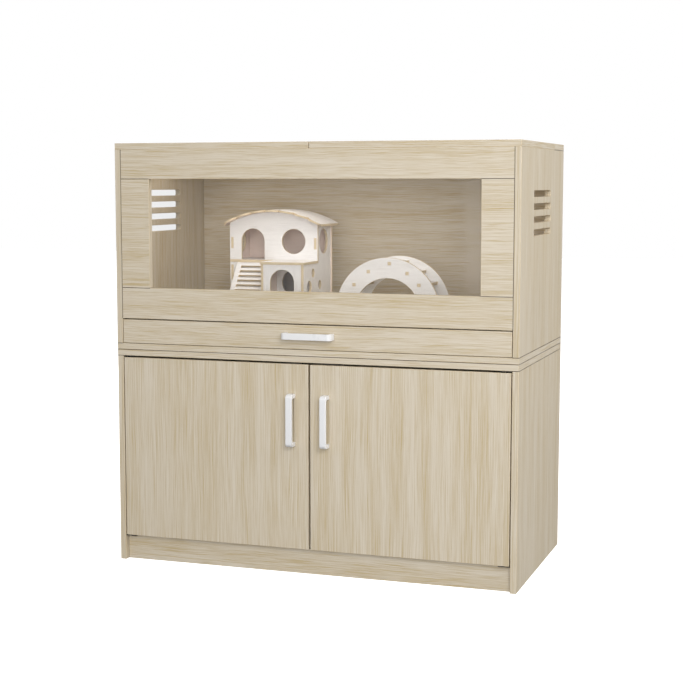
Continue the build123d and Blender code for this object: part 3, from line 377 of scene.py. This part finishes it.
for node, sheet, bare in (("cabinet_back_panel", Y, Y), ("drawer_bottom", Z, -Z)):
    sheet_board = eased(node, SHEET_ARRIS, 1)
    lay_grain(sheet_board, sheet, X)
    finish_with(sheet_board, hardboard)
    sheet_board.data.materials.append(bare_fibre)
    for face in sheet_board.data.polygons:
        face.material_index = int(face.normal.dot(bare) > 0.5)


# ---- Handles --------------------------------------------------------------------------------
# Bow handles moulded in white plastic: a flat bar that bends back into two legs, held by
# machine screws from inside. The moulding has soft edges and a faint satin texture.
HANDLE_ARRIS = 0.0011
HANDLE_LOW, HANDLE_HIGH = (0.76, 0.76, 0.77, 1), (0.81, 0.81, 0.815, 1)
handle_white, tree, shader = new_material("handle_white", IOR=1.5)
speckle = cloudy(tree, 1400.0, 2.0)
dress(tree, shader, blend(tree, span(tree, speckle, 0.3, 0.7), HANDLE_LOW, HANDLE_HIGH),
      handled(tree, 0.26, 0.38, 30.0), speckle, 0.1, 0.0001)
for node in ("left_door_handle", "right_door_handle", "drawer_handle"):
    finish_with(eased(node, HANDLE_ARRIS, 3), handle_white)


# ---- Window ---------------------------------------------------------------------------------
# A clear acrylic sheet behind the frame, its edges polished, held by small stepped clips.
MOULDED_ARRIS = 0.0004
PANE_LOW, PANE_HIGH = (0.24, 0.26, 0.26, 1), (0.30, 0.31, 0.31, 1)
CLIP_LOW, CLIP_HIGH = (0.68, 0.67, 0.63, 1), (0.76, 0.75, 0.71, 1)
clear, tree, shader = new_material("clear_acrylic", IOR=1.49)
facing = add(tree, "ShaderNodeLayerWeight", {"Blend": 0.12}).outputs["Fresnel"]
tree.links.new(span(tree, facing, 0.0, 1.0, 0.10, 0.5), shader.inputs["Alpha"])
wiped = cloudy(tree, 14.0, 3.0)
dress(tree, shader, blend(tree, wiped, PANE_LOW, PANE_HIGH), span(tree, wiped, 0.3, 0.8, 0.03, 0.09))
finish_with(eased("window_pane", MOULDED_ARRIS), clear)

clip_white, tree, shader = new_material("clip_white", IOR=1.5)
dress(tree, shader, blend(tree, cloudy(tree, 900.0, 3.0), CLIP_LOW, CLIP_HIGH),
      handled(tree, 0.45, 0.6, 60.0))
finish_with(eased("window_clips", MOULDED_ARRIS), clip_white)


# ---- Hinges and strikes ---------------------------------------------------------------------
# Zinc-plated steel: leaves rolled into knuckles round a pin, and flat strike plates pressed
# from strip, with softened edges.
METAL_ARRIS = 0.0002
ZINC_DULL, ZINC_BRIGHT = (0.48, 0.49, 0.51, 1), (0.66, 0.66, 0.66, 1)
zinc_plate, tree, shader = new_material("zinc_plated_steel", Metallic=1.0)
spangle, rolling = cloudy(tree, 260.0, 4.0), cloudy(tree, 1800.0, 2.0)
dress(tree, shader, blend(tree, spangle, ZINC_DULL, ZINC_BRIGHT),
      span(tree, spangle, 0.3, 0.7, 0.28, 0.46), rolling, 0.15, 0.0001)
for node in ("lid_hinge_fixed_leaves", "left_lid_hinge_leaves", "right_lid_hinge_leaves",
             "left_door_strike", "right_door_strike"):
    finish_with(eased(node, METAL_ARRIS, 1), zinc_plate)
finish_with(frame["nodes"]["lid_hinge_pins"], zinc_plate)


# ---- Door pivots ----------------------------------------------------------------------------
# Blackened steel plates with a riveted pin, one above and one below each door at its outer
# edge. The doors turn on the pins.
OXIDE_DARK, OXIDE_WORN = (0.035, 0.034, 0.033, 1), (0.10, 0.095, 0.09, 1)
blackened, tree, shader = new_material("blackened_steel", Metallic=1.0)
oxide = cloudy(tree, 330.0, 5.0)
dress(tree, shader, blend(tree, span(tree, oxide, 0.35, 0.75), OXIDE_DARK, OXIDE_WORN),
      span(tree, oxide, 0.3, 0.7, 0.42, 0.62))
finish_with(eased("door_pivots", METAL_ARRIS, 1), blackened)


# ---- Door catches ---------------------------------------------------------------------------
# Magnetic catches screwed under the cabinet's top board, their cases coloured near black as
# painted shade, so that the gap above the doors stays dark where they show through it. Two
# steel poles reach forward and hold the doors by their strike plates.
CATCH_LOW, CATCH_HIGH = (0.022, 0.022, 0.023, 1), (0.045, 0.044, 0.043, 1)
catch_black, tree, shader = new_material("catch_black", IOR=1.5)
dress(tree, shader, blend(tree, cloudy(tree, 1100.0, 3.0), CATCH_LOW, CATCH_HIGH),
      handled(tree, 0.45, 0.6, 60.0))
finish_with(eased("door_catches", MOULDED_ARRIS), catch_black)


# ---- Screws ---------------------------------------------------------------------------------
# Zinc-plated screws with a cross recess: countersunk wood screws in the hinges, pivots, clips
# and catches, and flat-headed machine screws that hold the handles from inside. Each one was
# driven home by hand, so their crosses point every way.
SCREW_SIDES = 24
FIRST_SEED = 3
END_BAND = 0.0003               # how far from a screw's end its corners still lie on that end
WOOD_SCREW = {"Head Radius": 0.0029, "Head Depth": 0.0014, "Under Radius": 0.0015,
              "Shank Radius": 0.0015, "Recess Length": 0.0034, "Recess Width": 0.0008,
              "Recess Depth": 0.0009}
MACHINE_SCREW = {"Head Radius": 0.0038, "Head Depth": 0.0020, "Under Radius": 0.0038,
                 "Shank Radius": 0.0019, "Recess Length": 0.0046, "Recess Width": 0.0010,
                 "Recess Depth": 0.0012}


def screw_tree():
    """Screws at the points of a mesh, along each point's vector into, down to its length:
    a head with a cross cut in it, turned at random, and a plain shank under it."""
    tree = bpy.data.node_groups.new("screws", "GeometryNodeTree")
    tree.interface.new_socket("Geometry", in_out="INPUT", socket_type="NodeSocketGeometry")
    for key in WOOD_SCREW:
        tree.interface.new_socket(key, in_out="INPUT", socket_type="NodeSocketFloat")
    tree.interface.new_socket("Seed", in_out="INPUT", socket_type="NodeSocketInt")
    tree.interface.new_socket("Material", in_out="INPUT", socket_type="NodeSocketMaterial")
    tree.interface.new_socket("Geometry", in_out="OUTPUT", socket_type="NodeSocketGeometry")
    given = tree.nodes.new("NodeGroupInput").outputs
    give = tree.nodes.new("NodeGroupOutput")
    head = add(tree, "GeometryNodeMeshCone",
               {"Vertices": SCREW_SIDES, "Radius Bottom": given["Head Radius"],
                "Radius Top": given["Under Radius"], "Depth": given["Head Depth"]})
    wings = []
    tall = maths(tree, "MULTIPLY", given["Recess Depth"], 2.0)
    for x, y in (("Recess Length", "Recess Width"), ("Recess Width", "Recess Length")):
        size = add(tree, "ShaderNodeCombineXYZ", {"X": given[x], "Y": given[y], "Z": tall})
        wings.append(add(tree, "GeometryNodeMeshCube", {"Size": size.outputs[0]}).outputs["Mesh"])
    cross = add(tree, "GeometryNodeMeshBoolean", operation="UNION", solver="EXACT")
    for wing in wings:
        tree.links.new(wing, cross.inputs["Mesh 2"])
    cut = add(tree, "GeometryNodeMeshBoolean",
              {"Mesh 1": head.outputs["Mesh"], "Mesh 2": cross.outputs["Mesh"]},
              operation="DIFFERENCE", solver="EXACT")
    shank = add(tree, "GeometryNodeMeshCylinder",
                {"Vertices": SCREW_SIDES // 2, "Radius": given["Shank Radius"], "Depth": 1.0})
    shank = add(tree, "GeometryNodeTransform",
                {"Geometry": shank.outputs["Mesh"], "Translation": (0, 0, 0.5)}).outputs["Geometry"]
    into, length = [add(tree, "GeometryNodeInputNamedAttribute", {"Name": name}, data_type=kind).outputs[0]
                    for name, kind in (("into", "FLOAT_VECTOR"), ("length", "FLOAT"))]
    aimed = add(tree, "FunctionNodeAlignRotationToVector", {"Vector": into}, axis="Z").outputs[0]
    turn = add(tree, "FunctionNodeRandomValue", {"Min": 0.0, "Max": math.pi, "Seed": given["Seed"]},
               data_type="FLOAT")
    spin = add(tree, "FunctionNodeAxisAngleToRotation", {"Axis": (0, 0, 1), "Angle": turn.outputs[1]})
    driven = add(tree, "FunctionNodeRotateRotation", {"Rotation": aimed, "Rotate By": spin.outputs[0]},
                 rotation_space="LOCAL").outputs[0]
    below = maths(tree, "SUBTRACT", length, given["Head Depth"])
    heads = add(tree, "GeometryNodeInstanceOnPoints",
                {"Points": given["Geometry"], "Instance": cut.outputs["Mesh"], "Rotation": driven})
    step = add(tree, "ShaderNodeVectorMath", {0: into, 3: given["Head Depth"]}, operation="SCALE")
    under = add(tree, "GeometryNodeSetPosition",
                {"Geometry": given["Geometry"], "Offset": step.outputs[0]}).outputs[0]
    shanks = add(tree, "GeometryNodeInstanceOnPoints",
                 {"Points": under, "Instance": shank, "Rotation": aimed,
                  "Scale": add(tree, "ShaderNodeCombineXYZ", {"X": 1.0, "Y": 1.0, "Z": below}).outputs[0]})
    joined = tree.nodes.new("GeometryNodeJoinGeometry")
    tree.links.new(heads.outputs[0], joined.inputs[0])
    tree.links.new(shanks.outputs[0], joined.inputs[0])
    real = add(tree, "GeometryNodeRealizeInstances", {0: joined.outputs[0]}).outputs[0]
    plated = add(tree, "GeometryNodeSetMaterial", {"Geometry": real, "Material": given["Material"]})
    tree.links.new(plated.outputs[0], give.inputs[0])
    return tree


def screw_points(node):
    """A point at the middle of each of a node's screw heads, with its direction and length."""
    cad = bmesh.new()
    cad.from_mesh(frame["nodes"][node].data)
    bmesh.ops.remove_doubles(cad, verts=cad.verts, dist=WELD)
    seen, found = set(), []
    for start in cad.verts:
        if start in seen:
            continue
        seen.add(start)
        shell, waiting = [], [start]
        while waiting:
            vert = waiting.pop()
            shell.append(vert.co.copy())
            for edge in vert.link_edges:
                other = edge.other_vert(vert)
                if other not in seen:
                    seen.add(other)
                    waiting.append(other)
        low = Vector([min(co[i] for co in shell) for i in range(3)])
        high = Vector([max(co[i] for co in shell) for i in range(3)])
        axis = max(range(3), key=lambda i: high[i] - low[i])
        middle = (low + high) / 2
        a, b = [i for i in range(3) if i != axis]
        reach = [max(math.hypot(co[a] - middle[a], co[b] - middle[b])
                     for co in shell if abs(co[axis] - end) < END_BAND) for end in (low[axis], high[axis])]
        top = low[axis] if reach[0] > reach[1] else high[axis]
        head, into = middle.copy(), Vector((0, 0, 0))
        head[axis] = top
        into[axis] = 1.0 if top == low[axis] else -1.0
        found.append((head, into, high[axis] - low[axis]))
    cad.free()
    points = bpy.data.meshes.new(node + "_points")
    points.from_pydata([head for head, _, _ in found], [], [])
    points.attributes.new("into", "FLOAT_VECTOR", "POINT").data.foreach_set(
        "vector", [part for _, into, _ in found for part in into])
    points.attributes.new("length", "FLOAT", "POINT").data.foreach_set(
        "value", [length for _, _, length in found])
    return points


screws = screw_tree()
for seed, (node, sizes) in enumerate((
        ("fixed_screws", WOOD_SCREW), ("left_lid_hinge_screws", WOOD_SCREW),
        ("right_lid_hinge_screws", WOOD_SCREW), ("left_door_handle_screws", MACHINE_SCREW),
        ("right_door_handle_screws", MACHINE_SCREW), ("drawer_handle_screws", MACHINE_SCREW)),
        FIRST_SEED):
    holder = bpy.data.objects.new(node + "_holder", screw_points(node))
    bpy.context.scene.collection.objects.link(holder)
    modifier = holder.modifiers.new("screws", "NODES")
    modifier.node_group = screws
    settings = {**sizes, "Seed": seed, "Material": zinc_plate}
    for socket in screws.interface.items_tree:
        if socket.in_out == "INPUT" and socket.name in settings:
            modifier[socket.identifier] = settings[socket.name]
    seen = holder.evaluated_get(bpy.context.evaluated_depsgraph_get())
    made = bpy.data.meshes.new_from_object(seen)
    bpy.data.objects.remove(holder)
    made.name = node + "_mesh"
    made.shade_smooth()
    made.set_sharp_from_angle(angle=math.radians(30))
    piece = bpy.data.objects.new(node + "_piece", made)
    bpy.context.scene.collection.objects.link(piece)
    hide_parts(node)
    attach(piece, frame["nodes"][node]["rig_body"])


# ---- Cam locks and their bolts --------------------------------------------------------------
# Die-cast zinc discs, dull and slightly grained from the die, turned a half turn to pull the
# heads of the steel bolts in. They sit flush in round bores on the insides of the boards.
CAST_DARK, CAST_LIGHT = (0.34, 0.35, 0.37, 1), (0.47, 0.475, 0.48, 1)
die_cast, tree, shader = new_material("die_cast_zinc", Metallic=1.0)
skin, flow = cloudy(tree, 700.0, 4.0), cloudy(tree, 90.0, 2.0)
dress(tree, shader, blend(tree, flow, CAST_DARK, CAST_LIGHT),
      span(tree, skin, 0.3, 0.7, 0.42, 0.60), skin, 0.4, 0.0002)
for node in ("cam_bolts", "cam_locks"):
    finish_with(frame["nodes"][node], die_cast)


# ---- Dowels ---------------------------------------------------------------------------------
# Plain beech pegs pressed into drilled holes beside the cam locks and in the drawer's corners.
BEECH_DARK, BEECH_LIGHT = (0.55, 0.38, 0.20, 1), (0.66, 0.48, 0.28, 1)
beech, tree, shader = new_material("beech_dowel")
ring = cloudy(tree, 500.0, 3.0)
dress(tree, shader, blend(tree, ring, BEECH_DARK, BEECH_LIGHT), span(tree, ring, 0.3, 0.7, 0.62, 0.78))
for node in ("dowels", "drawer_dowels"):
    finish_with(frame["nodes"][node], beech)


# ---- Play house -----------------------------------------------------------------------------
# Laser-cut plywood stained white on its outer faces before cutting, so the cut edges are bare
# and tan and the inner faces stay warm wood. The panels push together with tabs, and the ends
# of the tabs show as tan marks. The roof is a thin sheet bent to an arc with a lobed eave.
PLY_ARRIS = 0.0003
PLY_THICK, VENEERS = 0.005, 3
PLY_WHITE = ((0.94, 0.925, 0.915, 1), (0.92, 0.905, 0.895, 1),      # light, mid, dark, pore
             (0.74, 0.715, 0.695, 1), (0.63, 0.60, 0.58, 1))
PLY_BARE = ((0.92, 0.78, 0.70, 1), (0.90, 0.75, 0.665, 1), (0.78, 0.62, 0.52, 1), (0.64, 0.48, 0.38, 1))
PLY_EDGE, PLY_GLUE, PLY_SCORCH = (0.78, 0.655, 0.455, 1), (0.60, 0.46, 0.29, 1), (0.42, 0.28, 0.15, 1)
INSIDE = -1.0                   # a further value of band, for the unstained inner faces
INTO_ROOM = 0.03

white_ply, tree, shader = new_material("white_stained_plywood", IOR=1.45)
grain = add(tree, "ShaderNodeUVMap", uv_map="grain").outputs[0]
band = add(tree, "ShaderNodeAttribute", attribute_name="band").outputs["Fac"]
washed, bare = [
    add(tree, "ShaderNodeGroup",
        {"Vector": grain, "Light": tones[0], "Mid": tones[1], "Dark": tones[2], "Pore": tones[3],
         "Figure": 0.55, "Waviness": 2.2, "Streaks": 16.0}, node_tree=wood_print).outputs
    for tones in (PLY_WHITE, PLY_BARE)]
veneer = add(tree, "ShaderNodeSeparateXYZ", {0: grain}).outputs["Y"]
glue = maths(tree, "SINE", maths(tree, "MULTIPLY", veneer, VENEERS * math.pi / PLY_THICK))
burnt = lines(tree, grain, 60.0, 200.0)
cut = blend(tree, span(tree, glue, -1, 1, 0.0, 0.25), PLY_EDGE, PLY_GLUE)
cut = blend(tree, span(tree, burnt, 0.5, 0.8, 0.0, 0.35), cut, PLY_SCORCH)
faces = blend(tree, span(tree, band, -0.2, -0.8), washed["Colour"], bare["Colour"])
dress(tree, shader, blend(tree, span(tree, band, 0.1, 0.4), faces, cut), handled(tree, 0.55, 0.7, 25.0),
      washed["Height"], 0.4, 0.0003)
ramp_face = Vector((0, -1, 1)).normalized()
back_low, back_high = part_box("house_back_wall")
porch_low, porch_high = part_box("house_porch_front")
rooms, porch = (back_low + back_high) / 2, (porch_low + porch_high) / 2
rooms.y, porch.y = back_low.y - INTO_ROOM, porch_high.y + INTO_ROOM
for node, sheet, along in (
        ("house_upper_front", Y, X), ("house_lower_front", Y, X), ("house_back_wall", Y, X),
        ("house_left_wall", X, Z), ("house_right_wall", X, Z), ("house_roof", Z, Y),
        ("house_floor", Z, X), ("house_ramp", ramp_face, X), ("house_porch_front", Y, Z),
        ("house_porch_side", X, Z)):
    panel = eased(node, PLY_ARRIS)
    lay_grain(panel, sheet, along)
    if node not in ("house_floor", "house_ramp"):
        band, inside = panel.data.attributes["band"], porch if "porch" in node else rooms
        for face in panel.data.polygons:
            if band.data[face.index].value == FACE and face.normal.dot(inside - face.center) > 0:
                band.data[face.index].value = INSIDE
    finish_with(panel, white_ply)


# ---- Bridge ---------------------------------------------------------------------------------
# Two half rings of the same plywood, joined by five level treads whose tabs come through.
for node, sheet, along in (("bridge_arches", Y, X), ("bridge_treads", Z, Y)):
    panel = eased(node, PLY_ARRIS)
    lay_grain(panel, sheet, along)
    finish_with(panel, white_ply)


# ---- Studio ---------------------------------------------------------------------------------
# A pale floor that glows like a lit table, a soft key at the upper right, a wide fill in front
# at the window's height, one at the right, one behind at the left, and a glow under the lids.
FLOOR = 12
floor_mesh = bpy.data.meshes.new("floor")
floor_mesh.from_pydata([(-FLOOR, -FLOOR, 0), (FLOOR, -FLOOR, 0), (FLOOR, FLOOR, 0), (-FLOOR, FLOOR, 0)],
                       [], [(0, 1, 2, 3)])
floor = bpy.data.objects.new("floor", floor_mesh)
bpy.context.scene.collection.objects.link(floor)
floor.visible_diffuse = False
floor.visible_glossy = False
floor_white, tree, shader = new_material("floor_white", Roughness=0.9, Emission_Strength=0.82)
shader.inputs["Emission Color"].default_value = (1, 1, 1, 1)
dust = cloudy(tree, 3.0, 2.0)
tree.links.new(blend(tree, dust, (0.90, 0.90, 0.90, 1), (0.93, 0.93, 0.93, 1)), shader.inputs["Base Color"])
floor_mesh.materials.append(floor_white)


def softbox(name, at, aim, size, watts, colour=(1, 1, 1)):
    """An area light at a point, turned towards another, that isn't seen itself."""
    lamp = bpy.data.lights.new(name, "AREA")
    lamp.shape = "RECTANGLE"
    lamp.size, lamp.size_y = size
    lamp.energy, lamp.color = watts, colour
    box = bpy.data.objects.new(name, lamp)
    box.location = at
    box.rotation_euler = (Vector(aim) - Vector(at)).to_track_quat("-Z", "Y").to_euler()
    box.visible_camera = False
    bpy.context.scene.collection.objects.link(box)
    return box


softbox("key", (1.55, -2.5, 1.7), (0, 0, 0.55), (1.0, 1.0), 32)
softbox("fill", (0.6, -3.4, 0.80), (0, 0, 0.6), (2.4, 1.3), 48)
side = softbox("side", (3.0, -0.3, 1.5), (0.4, 0, 0.5), (1.4, 1.4), 49)
side.visible_glossy = False
softbox("behind", (-2.6, 2.4, 1.5), (0, 0, 0.5), (1.6, 1.6), 60)
glow = softbox("under_lids", (-0.05, -0.07, 0.800), (-0.05, -0.05, 0), (0.64, 0.20), 0.76,
               (1.0, 0.945, 0.89))
glow.visible_glossy = False

world = bpy.data.worlds.new("surround")
bpy.context.scene.world = world
world.use_nodes = True
tree = world.node_tree
background = tree.nodes["Background"]
around = add(tree, "ShaderNodeTexCoord").outputs["Generated"]
upward = add(tree, "ShaderNodeSeparateXYZ", {0: around}).outputs["Z"]
ambient = span(tree, upward, -0.6, 0.8, 0.20, 0.50)
seen = add(tree, "ShaderNodeLightPath").outputs["Is Camera Ray"]
tree.links.new(maths(tree, "MAXIMUM", ambient, seen), background.inputs["Strength"])
background.inputs["Color"].default_value = (1, 1, 1, 1)

eye = bpy.data.objects.new("eye", bpy.data.cameras.new("eye"))
eye.data.lens = 78.19
eye.data.sensor_width = 36
eye.location = (0.9567, -2.7821, 0.7418)
eye.rotation_euler = (math.radians(90 - 6.06), 0, math.radians(18.99))
bpy.context.scene.collection.objects.link(eye)
bpy.context.scene.camera = eye
bpy.context.scene.view_settings.view_transform = "Standard"
